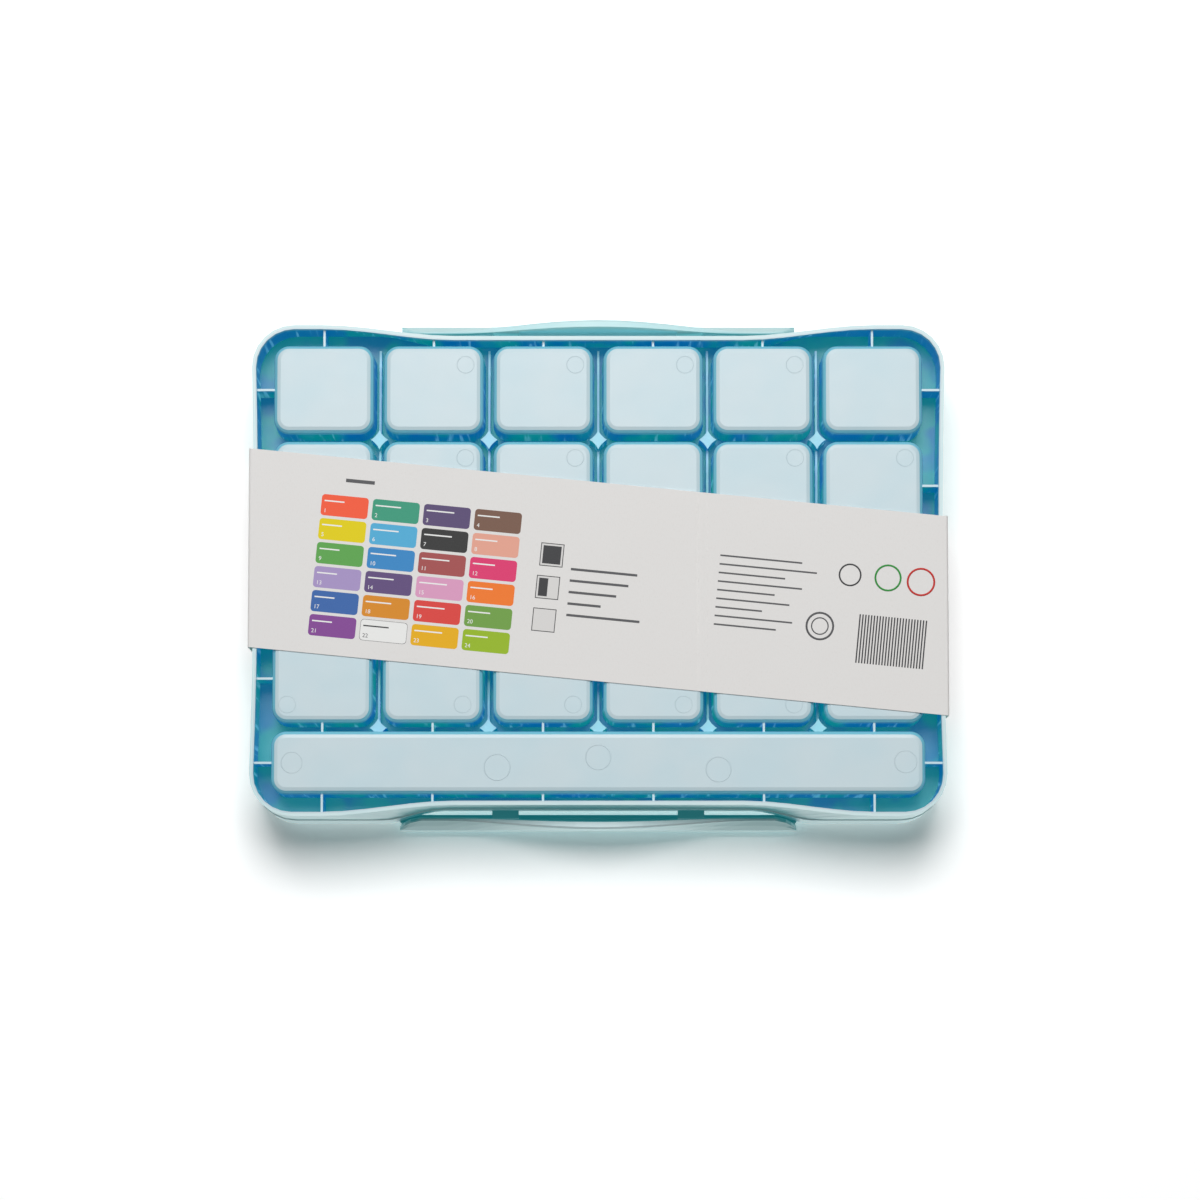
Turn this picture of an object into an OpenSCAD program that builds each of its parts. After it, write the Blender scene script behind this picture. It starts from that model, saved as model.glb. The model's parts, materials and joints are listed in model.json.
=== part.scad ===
// Gouache paint set in a clip-shut plastic case, with a card band round it.
// The case stands on its underside: +X runs along the long side, -Y is the side of the
// long compartment, +Z is up, and the origin is the middle of the footprint.

/* [Tray] */
// Columns of wells
columns = 6; // [5:1:6]
// Rows of wells
rows = 4; // [3:1:4]
// Distance between wells along X
pitch_x = 49.55; // [48.6:0.05:54]
// Distance between wells along Y
pitch_y = 43.6; // [43.2:0.1:48]
// Length of a well's foot
well_w = 45; // [40:0.1:45.6]
// Depth of a well's foot
well_d = 40; // [36:0.1:40.3]
// Radius of a well's upright corners
well_r = 6.7; // [6:0.1:9]
// Rounding round a well's foot
well_edge = 3; // [2:0.25:4]
// Thickness of the well walls
well_wall = 1.2; // [0.9:0.1:1.6]
// Lean of the well walls, in degrees
draft = 1.2; // [0.5:0.1:1.4]
// Depth of the long compartment's foot
long_d = 28.2; // [22:0.1:40]
// How far the long compartment reaches past the wells at each end
long_over = 0.3; // [0:0.1:2]
// Gap between the long compartment and the nearest wells, at their feet
long_gap = 3.8; // [3.4:0.1:6]
// Distance from the foot of the outer wall to the wells at each short side
margin_x = 10.1; // [9.5:0.1:16]
// Distance from the foot of the outer wall to the wells at the back
margin_back = 9.3; // [9.2:0.1:16]
// Distance from the foot of the outer wall to the long compartment
margin_front = 9.9; // [9.2:0.1:16]
// Radius of the case's upright corners
corner_r = 19; // [14:1:24]
// Thickness of the outer wall
wall = 1.9; // [1.2:0.1:2.2]
// How far each short side is drawn in at its middle
side_hollow = 1.4; // [0:0.1:2.5]
// How far each long side is drawn in behind its latch
recess = 5; // [3.6:0.1:5.2]
// Half length over which a long side is drawn in fully, at its foot
recess_flat = 65; // [50:1:72]
// Straight stretch between a corner and the draw, at the foot of the wall
recess_land = 12.5; // [8:0.5:20]
// Height of the tray from its foot to its deck
tray_h = 26.6; // [25:0.2:32]
// Thickness of the deck that the cups hang in
deck_t = 1.4; // [1:0.1:1.8]
// Height of the flange round the tray's top
flange_h = 4; // [3:0.5:5]
// Height of the flange's top above the deck
flange_rise = 3; // [2.5:0.1:4]
// How far the flange stands out from the foot of the wall, along X
flange_out_x = 0.3; // [0.2:0.1:0.5]
// How far the flange stands out from the foot of the wall, along Y
flange_out_y = 0.8; // [0.5:0.1:1.2]
// How far the wall lies behind the flange where they meet
flange_step = 0.4; // [0.2:0.1:0.6]
// Height of the tongue above the flange
tongue_h = 2.6; // [2:0.2:4]
// Thickness of the tongue
tongue_t = 1.2; // [1:0.1:1.5]
// Thickness of the stiffening ribs
rib_t = 1; // [0.7:0.1:1.4]
// How far the ribs stop short of the foot of the case
rib_short = 2.5; // [1:0.5:8]
// Height of the low webs between the columns, from the deck down
web_h = 9; // [4:0.5:14]
// Height of the posts where the gaps cross, from the deck down
post_h = 17; // [15:0.5:20]
// Gap between a post and the corners of the wells round it
post_gap = 3.2; // [2.8:0.1:3.6]

/* [Lid] */
// Height of the lid
lid_h = 15.8; // [15:0.2:20]
// Thickness of the lid
lid_t = 1.8; // [1.4:0.1:2]
// Rounding round the top of the lid
crown = 3.2; // [2.4:0.1:3.4]
// How far the lid leans out, along Y
lid_out_y = 0.7; // [0.3:0.1:0.9]
// Gap at the parting line
parting = 0.25; // [0.2:0.05:0.4]
// Clearance between the tongue and the lid
tongue_gap = 0.3; // [0.2:0.05:0.5]
// Length of the lid's hinge ears
ear_l = 3.6; // [3:0.1:5]

/* [Latches] */
// Half length of a latch flap
flap_half = 90.3; // [84:0.1:92]
// Thickness of a flap
flap_t = 2; // [1.6:0.1:2.2]
// Distance from the hinge axis out to a flap's face
flap_out = 5.4; // [5.2:0.1:6.5]
// Distance from the lid's edge in to the hinge axis
hinge_in = 2.1; // [2:0.1:2.4]
// Depth of the hinge axis below the top of the lid
hinge_drop = 3.9; // [3.7:0.1:4.4]
// Radius of a hinge barrel
barrel_r = 2; // [1.8:0.1:2.1]
// Radius of a hinge stub
stub_r = 1.2; // [1:0.1:1.3]
// Length of a hinge stub
stub_l = 2.2; // [1.6:0.1:2.4]
// Radial clearance round a stub
stub_gap = 0.08; // [0.05:0.01:0.1]
// Gap between a flap and the lid at each end, and behind the barrel
flap_gap = 0.5; // [0.4:0.1:0.8]
// Height of a flap's edge above the foot of the case, away from its middle
lip_high = 25.1; // [24.2:0.1:25.6]
// How far the middle of a flap reaches further down
lip_drop = 9; // [5:0.5:11]
// How far the ends of a flap's edge rise
lip_rise = 12; // [8:0.5:13]
// Length over which the ends of a flap's edge rise
lip_run = 10.3; // [6:0.1:14]
// How far a flap's edge leans in, away from its middle
lip_in = 3.7; // [3:0.1:3.9]
// How much thicker a flap's edge is at its middle
lip_swell = 1.7; // [0:0.1:2]
// Half length of the swell at a flap's middle
swell = 68; // [56:1:74]
// Half distance between the catches of a flap
catch_x = 42; // [41:1:46]
// Length of a catch
catch_w = 12; // [8:1:13]
// Height of a catch
catch_h = 1.8; // [1.4:0.1:2]
// Running gap between a catch and the tray
catch_gap = 0.4; // [0.3:0.05:0.6]

/* [Cups and paint] */
// Gap between a cup and its well, at the deck
cup_gap = 0.5; // [0.4:0.1:1]
// Height of a cup below its flange
cup_h = 22; // [18:0.5:23]
// Thickness of a cup's wall
cup_t = 0.9; // [0.7:0.1:1.2]
// Lean of a cup's walls, in degrees
cup_draft = 2; // [1.4:0.1:3]
// Rounding round a cup's foot
cup_edge = 2; // [1:0.25:2.5]
// Width of a cup's flange
cup_flange = 1.9; // [1.4:0.1:2]
// Thickness of a cup's flange
cup_flange_t = 0.8; // [0.6:0.1:1.2]
// How far the paint stays below the top of its cup
paint_low = 2; // [1:0.5:6]
// Gap between the paint and its cup
paint_gap = 0.05; // [0.03:0.01:0.1]
// Thickness of a cup's peel-off film
film_t = 0.25; // [0.2:0.05:0.4]

/* [Mixing palette] */
// Height of the palette
palette_h = 14; // [11:0.5:15]
// Clearance between the palette and the tray's tongue
palette_gap = 0.8; // [0.5:0.1:1.5]
// Thickness of the palette's floor, wall and partitions
palette_t = 1.5; // [1.2:0.1:2]
// Large mixing areas along X
areas = 3; // [2:1:4]
// Small cells along X
cells = 6; // [4:1:8]
// Depth of the small cells along Y
cell_d = 62; // [50:1:80]
// Radius of the corners of the areas and cells
cell_r = 9; // [6:0.5:11]
// Rounding round the floors of the areas and cells
cell_edge = 3; // [2:0.25:4]
// Lean of the palette's walls, in degrees
palette_draft = 3; // [2:0.5:5]

/* [Card band] */
// Thickness of the card
card_t = 0.4; // [0.3:0.05:0.5]
// Width of the band, measured along Y
band_w = 90; // [60:1:110]
// Slant of the band across the case, in degrees
band_slant = 5.6; // [0:0.2:7]
// Middle of the band, measured from the middle of the case
band_y = -5.6; // [-12:0.1:12]
// Gap between the band and the case
band_gap = 0.3; // [0.25:0.05:0.5]
// Length of the glued overlap
glue_w = 14; // [8:1:20]
// Place of the outer ply's end along X
glue_x = -44; // [-70:1:60]
// Thickness of the inner ply, pressed flat by the glue
glue_t = 0.2; // [0.1:0.05:0.2]

/* [Hidden] */
$fn = 32;
through = 1;

// Heights
foot_z = card_t + band_gap;
deck_z = foot_z + tray_h;
flange_top = deck_z + flange_rise;
flange_z = flange_top - flange_h;
tongue_top = flange_top + tongue_h;
lid_z = flange_top + parting;
top_z = lid_z + lid_h;
ceiling_z = top_z - lid_t;
film_z = deck_z + cup_flange_t;
palette_z = film_z + film_t;

// Plan sizes
wells_w = (columns - 1) * pitch_x + well_w;
wells_d = (rows - 1) * pitch_y + well_d;
half_w = wells_w / 2 + margin_x;
half_d = (wells_d + long_gap + long_d + margin_back + margin_front) / 2;
flange_half_w = half_w + flange_out_x;
flange_half_d = half_d + flange_out_y;
wells_y = half_d - margin_back - wells_d / 2;
long_w = wells_w + 2 * long_over;
long_y = -half_d + margin_front + long_d / 2;
tongue_in = lid_t + tongue_gap;
rim_in = tongue_in + tongue_t;

// Latches
hinge_y = flange_half_d + lid_out_y - hinge_in;
hinge_z = top_z - hinge_drop;
pocket_y = hinge_y - barrel_r - flap_gap;
pocket_half = flap_half + flap_gap;
recess_start = flap_half + 7.7;
recess_end = flap_half - 20.3;
latch_face = flange_half_d - recess;
flap_face = hinge_y + flap_out;
lip_z = foot_z + lip_high;
bend_z = hinge_z - barrel_r - 2.2;

// Cups, from the opening of a well at the deck
mouth_grow = 2 * (tray_h - well_edge) * tan(draft);
cup_w = well_w - 2 * well_wall + mouth_grow - 2 * cup_gap;
cup_d = well_d - 2 * well_wall + mouth_grow - 2 * cup_gap;
cup_r = well_r - well_wall;
cup_lean = cup_h * tan(cup_draft);

// Palette
palette_lean = palette_h * tan(palette_draft);
palette_w = 2 * (flange_half_w - side_hollow - rim_in - palette_gap);
palette_d = 2 * (latch_face - rim_in - palette_gap);
palette_r = corner_r - rim_in;

mint = [0.74, 0.88, 0.87];
clear = [0.93, 0.95, 0.95];
card = [0.88, 0.87, 0.86];
foil = [0.96, 0.96, 0.95];
white = [0.97, 0.97, 0.96];

// The colours of the paints, as hue, strength and brightness
paint_hsv = [
    [10, 0.72, 0.99], [160, 0.56, 0.63], [262, 0.31, 0.48], [19, 0.34, 0.5], [54, 0.87, 0.92], [199, 0.59, 0.87],
    [0, 0, 0.24], [14, 0.36, 0.93], [110, 0.49, 0.67], [207, 0.67, 0.8], [0, 0.48, 0.67], [341, 0.7, 0.9],
    [264, 0.24, 0.8], [266, 0.35, 0.51], [326, 0.28, 0.89], [23, 0.78, 0.98], [217, 0.61, 0.69], [33, 0.78, 0.88],
    [2, 0.68, 0.89], [92, 0.52, 0.65], [287, 0.48, 0.61], [60, 0.01, 0.97], [43, 0.85, 0.94], [74, 0.74, 0.75]
];

function two_digits(i) = str(i < 10 ? "0" : "", i);

// Red, green or blue of a hue, strength and brightness; n is 5, 3 or 1
function channel(c, n) = let (k = (n + c[0] / 60) % 6) c[2] - c[2] * c[1] * max(0, min(k, 4 - k, 1));
function paint_colour(i) = let (c = paint_hsv[i % len(paint_hsv)]) [channel(c, 5), channel(c, 3), channel(c, 1)];

// A curve from 0 to 1 with level ends
function ease(t) = let (u = max(0, min(1, t))) u * u * (3 - 2 * u);

// Centre of well i, counted from the back left
function well_at(i) = [
    (i % columns - (columns - 1) / 2) * pitch_x,
    wells_y + ((rows - 1) / 2 - floor(i / columns)) * pitch_y
];

// A quarter of the case's plan, from the middle of a short side to the middle of a long one.
// The long side is drawn in by draw, fully within flat of its middle and not beyond start.
function quarter(hw, hd, r, draw, flat, start) = concat(
    [for (k = [0:3]) let (y = (hd - r) * k / 4) [hw - side_hollow * (1 - pow(k / 4, 2)), y]],
    [for (a = [0:15:90]) [hw - r + r * cos(a), hd - r + r * sin(a)]],
    [for (k = [0:6]) [start + (flat - start) * k / 6, hd - draw * ease(k / 6)]],
    [[0, hd - draw]]
);

// The whole plan: the quarter, to the nearest micron, mirrored in both axes
function mirrored(exact) = let (q = [for (p = exact) [micron(p[0]), micron(p[1])]], n = len(q)) concat(
    q,
    [for (i = [n - 2:-1:0]) [-q[i][0], q[i][1]]],
    [for (i = [1:n - 1]) [-q[i][0], -q[i][1]]],
    [for (i = [n - 2:-1:1]) [q[i][0], -q[i][1]]]
);

// The plan at the foot of the tray, grown by g
function foot_plan(g) = mirrored(quarter(half_w + g, half_d + g, corner_r + g, recess, recess_flat,
    half_w - corner_r - recess_land));

// The plan at the flange and the lid, grown by g, and by gy more along Y outside the recess
// The corner grows with it, so that the short sides stay flat from plan to plan.
function flange_plan(g, gy = 0) = mirrored(quarter(flange_half_w + g, flange_half_d + g + gy,
    corner_r + flange_out_y + g + gy, recess + gy, recess_end, recess_start));

// A solid through rings of points of equal count, each ring turning to the left seen from ahead.
// Where middles are given, triangles round them close the two ends.
module skin(rings, middles = []) {
    n = len(rings[0]);
    m = len(rings);
    strips = [for (k = [0:m - 2]) for (i = [0:n - 1]) let (a = k * n + i, b = k * n + (i + 1) % n)
        each [[a, a + n, b + n], [a, b + n, b]]];
    fans = len(middles) > 0;
    first = fans ? [for (i = [0:n - 1]) [m * n, i, (i + 1) % n]] : [[for (i = [0:n - 1]) i]];
    last = fans ? [for (i = [0:n - 1]) [m * n + 1, (m - 1) * n + (i + 1) % n, (m - 1) * n + i]]
        : [[for (i = [n - 1:-1:0]) (m - 1) * n + i]];
    polyhedron(points = concat([for (ring = rings) each ring], middles), faces = concat(first, strips, last));
}

// A solid through plans of equal count, one at each height; fans closes its ends round their middles
module loft(plans, heights, fans = false) {
    top = len(plans) - 1;
    skin(
        [for (k = [0:top]) [for (p = plans[k]) [p[0], p[1], heights[k]]]],
        fans ? [[0, 0, heights[0]], [0, 0, heights[top]]] : []
    );
}

// A size to the nearest micron, so that faces made in different ways meet exactly
function micron(v) = round(v * 1000) / 1000;

// Half section of a tub, measured out from the centre line of its corner
function tub_section(r, h, lean, edge) = [for (p = concat(
    edge > 0 ? [for (a = [0:30:90]) [r - edge + edge * sin(a), edge - edge * cos(a)]] : [[r, 0]],
    [[r + (h - edge) * tan(lean), h]]
)) [micron(p[0]), micron(p[1])]];

// A tub standing on z = 0: w by d above the rounding of its foot, leaning out from there up
module tub(w, d, r, h, lean = 0, edge = 0) {
    a = micron(w / 2 - r);
    b = micron(d / 2 - r);
    s = tub_section(r, h, lean, edge);
    corner = concat([[0, 0]], s, [[0, micron(h)]]);
    for (x = [0, 1])
        for (y = [0, 1])
            mirror([x, 0, 0]) mirror([0, y, 0]) translate([a, b, 0]) rotate_extrude(angle = 90) polygon(corner);
    translate([0, b, 0]) rotate([90, 0, 0]) linear_extrude(2 * b) polygon(both_sides(a, s));
    translate([-a, 0, 0]) rotate([90, 0, 90]) linear_extrude(2 * a) polygon(both_sides(b, s));
}

// A half section moved out by c and closed with its mirror image
function both_sides(c, s) = concat(
    [for (p = s) [c + p[0], p[1]]],
    [for (i = [len(s) - 1:-1:0]) [-c - s[i][0], s[i][1]]]
);

// The outer wall, flange, tongue and deck of the tray
module tray_body() {
    difference() {
        union() {
            loft([foot_plan(0), flange_plan(-flange_step)], [foot_z, flange_z + flange_h / 2], fans = true);
            translate([0, 0, flange_z]) linear_extrude(flange_h) polygon(flange_plan(0));
            translate([0, 0, deck_z]) linear_extrude(tongue_top - deck_z) polygon(flange_plan(-tongue_in));
        }
        loft([foot_plan(-wall), flange_plan(-flange_step - wall)], [foot_z - through, deck_z - deck_t / 3], fans = true);
        translate([0, 0, deck_z]) linear_extrude(tongue_h + flange_rise + through) polygon(flange_plan(-rim_in));
    }
    translate([0, 0, deck_z - deck_t]) linear_extrude(deck_t) polygon(flange_plan(-flange_step - wall / 2));
}

// The ribs between the outer wall and the wells, and between the last row and the long compartment
module ribs() {
    rib_h = tray_h - rib_short - deck_t / 2;
    rib_z = foot_z + rib_short;
    in_wall = wall / 2;
    back_y = wells_y + wells_d / 2 - well_wall / 2;
    front_y = long_y - long_d / 2 + well_wall / 2;
    side_x = wells_w / 2 - well_wall / 2;
    for (i = [0:columns - 1]) {
        x = well_at(i)[0];
        edge = x_edge(x);
        translate([x - rib_t / 2, back_y, rib_z]) cube([rib_t, edge - in_wall - back_y, rib_h]);
        translate([x - rib_t / 2, -edge + in_wall, rib_z]) cube([rib_t, edge - in_wall + front_y, rib_h]);
        translate([x - rib_t / 2, long_y + long_d / 2 - well_wall / 2, rib_z])
            cube([rib_t, long_gap + well_wall, rib_h]);
    }
    for (y = concat([for (j = [0:rows - 1]) well_at(j * columns)[1]], [long_y])) {
        edge = y_edge(y);
        for (s = [-1, 1])
            translate([s > 0 ? side_x : -edge + in_wall, y - rib_t / 2, rib_z])
                cube([edge - in_wall - side_x, rib_t, rib_h]);
    }
}

// Distance from the middle of the case to the foot of a long wall at x, and of a short wall at y
function x_edge(x) = let (start = half_w - corner_r - recess_land)
    half_d - recess * ease((start - abs(x)) / (start - recess_flat));
function y_edge(y) = half_w - side_hollow * (1 - pow(y / (half_d - corner_r), 2));

// The low webs along the gaps between the columns, and the hollow-sided posts where gaps cross
module webs() {
    post_r = well_r + post_gap;
    front_y = long_y + long_d / 2;
    last_y = wells_y - wells_d / 2;
    for (i = [0:columns - 2]) {
        x = (i + 0.5 - (columns - 1) / 2) * pitch_x;
        translate([x - rib_t / 2, last_y - long_gap, deck_z - deck_t / 2 - web_h])
            cube([rib_t, wells_d + long_gap, web_h]);
        translate([x, 0, deck_z - deck_t / 2 - post_h]) {
            for (j = [1:rows - 1])
                translate([0, wells_y + (j - rows / 2) * pitch_y, 0]) post(post_r);
            intersection() {
                translate([0, last_y - (pitch_y - well_d) / 2, 0]) post(post_r);
                translate([-pitch_x / 2, front_y - well_wall / 2, 0]) cube([pitch_x, pitch_y, post_h]);
            }
        }
    }
}

// A post between four wells, hollowed by their round corners
module post(r) {
    cx = (pitch_x - well_w) / 2 + well_r;
    cy = (pitch_y - well_d) / 2 + well_r;
    reach_x = cx - sqrt(r * r - cy * cy * 0.25);
    difference() {
        translate([-cx, -cy, 0]) cube([2 * cx, 2 * cy, post_h]);
        for (x = [-cx, cx])
            for (y = [-cy, cy])
                translate([x, y, -through]) cylinder(r = r, h = post_h + 2 * through);
        for (x = [-1, 1])
            translate([x * (cx + reach_x * 0.5), 0, post_h / 2]) cube([cx, 3 * cy, 3 * post_h], center = true);
    }
}

module case_tray() {
    color(mint) difference() {
        union() {
            tray_body();
            for (i = [0:columns * rows - 1])
                translate(concat(well_at(i), foot_z)) tub(well_w, well_d, well_r, tray_h - deck_t / 2, draft, well_edge);
            translate([0, long_y, foot_z]) tub(long_w, long_d, well_r, tray_h - deck_t / 2, draft, well_edge);
            ribs();
            webs();
        }
        for (i = [0:columns * rows - 1])
            translate(concat(well_at(i), foot_z)) well_hollow(well_w, well_d);
        translate([0, long_y, foot_z]) well_hollow(long_w, long_d);
    }
}

// The inside of a well, open at the deck
module well_hollow(w, d) {
    translate([0, 0, well_wall])
        tub(w - 2 * well_wall, d - 2 * well_wall, well_r - well_wall, tray_h, draft, well_edge - well_wall);
}

// The lid's outer form, or its inside where t is its thickness
module lid_form(t) {
    r = crown - t;
    rise = [for (a = [0:22.5:90]) a];
    loft(
        concat([flange_plan(-t)], [for (a = rise) flange_plan(-t - r * (1 - cos(a)), lid_out_y)]),
        concat([lid_z - (t > 0 ? through : 0)], [for (a = rise) top_z - crown + r * sin(a)])
    );
}

module lid() {
    stay_z = tongue_top + tongue_gap;
    color(mint) difference() {
        lid_form(0);
        difference() {
            lid_form(lid_t);
            for (s = [-1, 1])
                for (x = [recess_end, -pocket_half - ear_l])
                    translate([x, s > 0 ? pocket_y - lid_t : -half_d - through, stay_z])
                        cube([pocket_half + ear_l - recess_end, half_d + through - pocket_y + lid_t, lid_h]);
        }
        for (s = [0, 1])
            mirror([0, s, 0]) {
                translate([-pocket_half, pocket_y, hinge_z - barrel_r - 1.2])
                    cube([2 * pocket_half, half_d, lid_h]);
                translate([-pocket_half - stub_l, hinge_y, hinge_z])
                    rotate([0, 90, 0]) cylinder(r = stub_r + stub_gap, h = 2 * (pocket_half + stub_l));
            }
    }
}

// How far a flap swells out at x, from 0 to 1
function bulge(x) = abs(x) < swell ? pow(cos(90 * x / swell), 1.5) : 0;

// Height of a flap's edge at x
function flap_edge_z(x) =
    let (run = max(0, abs(x) - flap_half + lip_run) / lip_run) lip_z - lip_drop * bulge(x) + lip_rise * run * run;

// Distance of a flap's outer face from the middle of the case at x and z
function flap_outer(x, z) = let (low = lip_z - lip_drop * bulge(x), b = bulge(x))
    flap_face + (0.3 * b - lip_in * (1 - b)) * max(0, (bend_z - z) / (bend_z - low));

// Upright section of a flap at x, as points of y and z
function flap_section(x) =
    let (e = flap_edge_z(x), m = (e + bend_z) / 2, b = bulge(x), t = flap_t + lip_swell * b)
    [
        [flap_face - flap_t, hinge_z + 0.8],
        [flap_face - flap_t, bend_z],
        [flap_outer(x, m) - (flap_t + t) / 2, m],
        [flap_outer(x, e) - t, e + 1],
        [flap_outer(x, e) - t + 0.5, e + 0.2],
        [flap_outer(x, e) - 0.9, e],
        [flap_outer(x, e) - 0.2, e + 0.5],
        [flap_outer(x, e), e + 1.3],
        [flap_outer(x, m), m],
        [flap_face, bend_z],
        [flap_face, hinge_z + 0.8],
        [flap_face - 0.8, hinge_z + 1.6]
    ];

// Places along a flap where its section is taken, from end to end
function flap_places() = let (half = concat([for (k = [0:7]) k * 10], [flap_half - lip_run, flap_half - lip_run / 2,
    flap_half - lip_run / 4, flap_half])) concat([for (i = [len(half) - 1:-1:1]) -half[i]], half);

// The skin of a flap, swept through its sections
module flap_skin() {
    skin([for (x = flap_places()) [for (p = flap_section(x)) [x, p[0], p[1]]]]);
}

// A latch flap on the back side: skin, barrel, stubs and catches
module latch() {
    color(mint) {
        flap_skin();
        translate([-flap_half, hinge_y, hinge_z]) rotate([0, 90, 0]) cylinder(r = barrel_r, h = 2 * flap_half);
        translate([-flap_half - flap_gap - stub_l + 0.3, hinge_y, hinge_z])
            rotate([0, 90, 0]) cylinder(r = stub_r, h = 2 * (flap_half + flap_gap + stub_l - 0.3));
        translate([flap_gap - flap_half, hinge_y, hinge_z - 0.4])
            cube([2 * (flap_half - flap_gap), flap_out - flap_t / 2, 1.6]);
        for (s = [-1, 1])
            translate([s * catch_x - catch_w / 2, 0, 0]) catch();
    }
}

// A wedge that closes under the tray's flange
module catch() {
    tip_y = latch_face + catch_gap;
    top = flange_z - catch_gap;
    back_y = flap_outer(catch_x, top - catch_h) - flap_t / 2;
    rotate([90, 0, 90]) linear_extrude(catch_w)
        polygon([[tip_y, top], [back_y, top], [back_y, top - catch_h - 1], [tip_y, top - catch_h + 1]]);
}

module rear_latch() {
    latch();
}

module front_latch() {
    mirror([0, 1, 0]) latch();
}

// The shallow palette on the cups: a row of small cells behind the large mixing areas
module mixing_palette() {
    inner_w = palette_w - 2 * palette_lean;
    inner_d = palette_d - 2 * palette_lean;
    area_d = inner_d - cell_d - 3 * palette_t;
    area_w = (inner_w - (areas + 1) * palette_t) / areas;
    cell_w = (inner_w - (cells + 1) * palette_t) / cells;
    color(white) translate([0, 0, palette_z]) difference() {
        tub(inner_w, inner_d, palette_r, palette_h, palette_draft, 1);
        for (i = [0:areas - 1])
            translate([(i - (areas - 1) / 2) * (area_w + palette_t), -inner_d / 2 + palette_t + area_d / 2, palette_t])
                palette_hollow(area_w, area_d);
        for (i = [0:cells - 1])
            translate([(i - (cells - 1) / 2) * (cell_w + palette_t), inner_d / 2 - palette_t - cell_d / 2, palette_t])
                palette_hollow(cell_w, cell_d);
    }
}

// A hollow whose foot is drawn in by the lean of its walls, so that its mouth is w by d
module palette_hollow(w, d) {
    shrink = 2 * (palette_h - palette_t - cell_edge) * tan(palette_draft);
    tub(w - shrink, d - shrink, cell_r, palette_h, palette_draft, cell_edge);
}

// The closed loop of card, cut on a slant, with the glued overlap inside it
module belly_band() {
    inner_x = flange_half_w + band_gap;
    outer_x = inner_x + card_t;
    inner_top = top_z + band_gap;
    skew = outer_x * tan(band_slant);
    color(card) intersection() {
        difference() {
            translate([-outer_x, -half_d, 0]) cube([2 * outer_x, 2 * half_d, inner_top + card_t]);
            difference() {
                translate([-inner_x, -half_d - through, card_t])
                    cube([2 * inner_x, 2 * (half_d + through), inner_top - card_t]);
                translate([glue_x - glue_w, -half_d, 0]) cube([glue_w, 2 * half_d, card_t + glue_t]);
            }
        }
        translate([0, band_y, -through]) linear_extrude(top_z + 2 * through + band_gap + card_t)
            polygon([
                [-outer_x, -skew - band_w / 2], [outer_x, skew - band_w / 2],
                [outer_x, skew + band_w / 2], [-outer_x, -skew + band_w / 2]
            ]);
    }
}

// The thin films sealed to the cups' flanges
module seal_films() {
    color(foil) for (i = [0:columns * rows - 1])
        translate(concat(well_at(i), film_z)) flange_plate(film_t);
}

// A plate with the outline of a cup's flange
module flange_plate(t) {
    tub(cup_w + 2 * cup_flange, cup_d + 2 * cup_flange, cup_r + cup_flange, t);
}

// A cup, hung in its well by its flange
module cup(i) {
    foot_w = cup_w - 2 * cup_lean;
    foot_d = cup_d - 2 * cup_lean;
    foot_r = cup_r - cup_lean;
    color(clear) translate(concat(well_at(i), deck_z - cup_h)) difference() {
        union() {
            tub(foot_w, foot_d, foot_r, cup_h, cup_draft, cup_edge);
            translate([0, 0, cup_h]) flange_plate(cup_flange_t);
        }
        translate([0, 0, cup_t])
            tub(foot_w - 2 * cup_t, foot_d - 2 * cup_t, foot_r - cup_t, cup_h + through, cup_draft, cup_edge - cup_t);
    }
}

// The paint that fills a cup nearly to its top
module paint(i) {
    inset = cup_t + paint_gap;
    foot_w = cup_w - 2 * cup_lean - 2 * inset;
    foot_d = cup_d - 2 * cup_lean - 2 * inset;
    color(paint_colour(i)) translate(concat(well_at(i), deck_z - cup_h + inset))
        tub(foot_w, foot_d, cup_r - cup_lean - inset, cup_h + cup_flange_t - paint_low - inset, cup_draft,
            cup_edge - cup_t);
}

case_tray();
lid();
front_latch();
rear_latch();
mixing_palette();
belly_band();
seal_films();
for (i = [0:columns * rows - 1]) {
    cup(i);
    paint(i);
}
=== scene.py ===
"""Dresses the gouache paint set box: moulded mint case, latch flaps, cups of paint and a card band."""

from __future__ import annotations

import json
import logging
import math
from collections.abc import Iterable, Mapping, Sequence
from dataclasses import dataclass
from enum import Enum

import bmesh
import bpy
from mathutils import Matrix, Vector

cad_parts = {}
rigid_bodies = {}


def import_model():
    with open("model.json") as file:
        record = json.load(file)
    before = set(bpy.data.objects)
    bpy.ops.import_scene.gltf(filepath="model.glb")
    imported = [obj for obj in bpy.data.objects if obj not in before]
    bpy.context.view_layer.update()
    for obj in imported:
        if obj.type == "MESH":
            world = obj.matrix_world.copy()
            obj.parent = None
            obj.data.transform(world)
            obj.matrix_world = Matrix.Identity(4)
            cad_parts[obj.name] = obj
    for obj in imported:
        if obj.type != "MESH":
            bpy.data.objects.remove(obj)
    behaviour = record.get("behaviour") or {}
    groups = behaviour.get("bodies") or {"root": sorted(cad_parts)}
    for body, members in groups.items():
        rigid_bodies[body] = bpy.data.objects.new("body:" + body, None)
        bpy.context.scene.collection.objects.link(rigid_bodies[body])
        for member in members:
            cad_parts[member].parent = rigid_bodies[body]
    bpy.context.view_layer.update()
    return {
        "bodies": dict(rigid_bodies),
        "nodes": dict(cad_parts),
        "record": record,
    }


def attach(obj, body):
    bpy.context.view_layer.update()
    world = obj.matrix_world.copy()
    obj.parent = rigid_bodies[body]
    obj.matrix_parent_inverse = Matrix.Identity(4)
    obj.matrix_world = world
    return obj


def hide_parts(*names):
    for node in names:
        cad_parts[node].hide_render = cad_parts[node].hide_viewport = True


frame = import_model()
LOG = logging.getLogger("paint_box")
MM = 0.001
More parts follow.
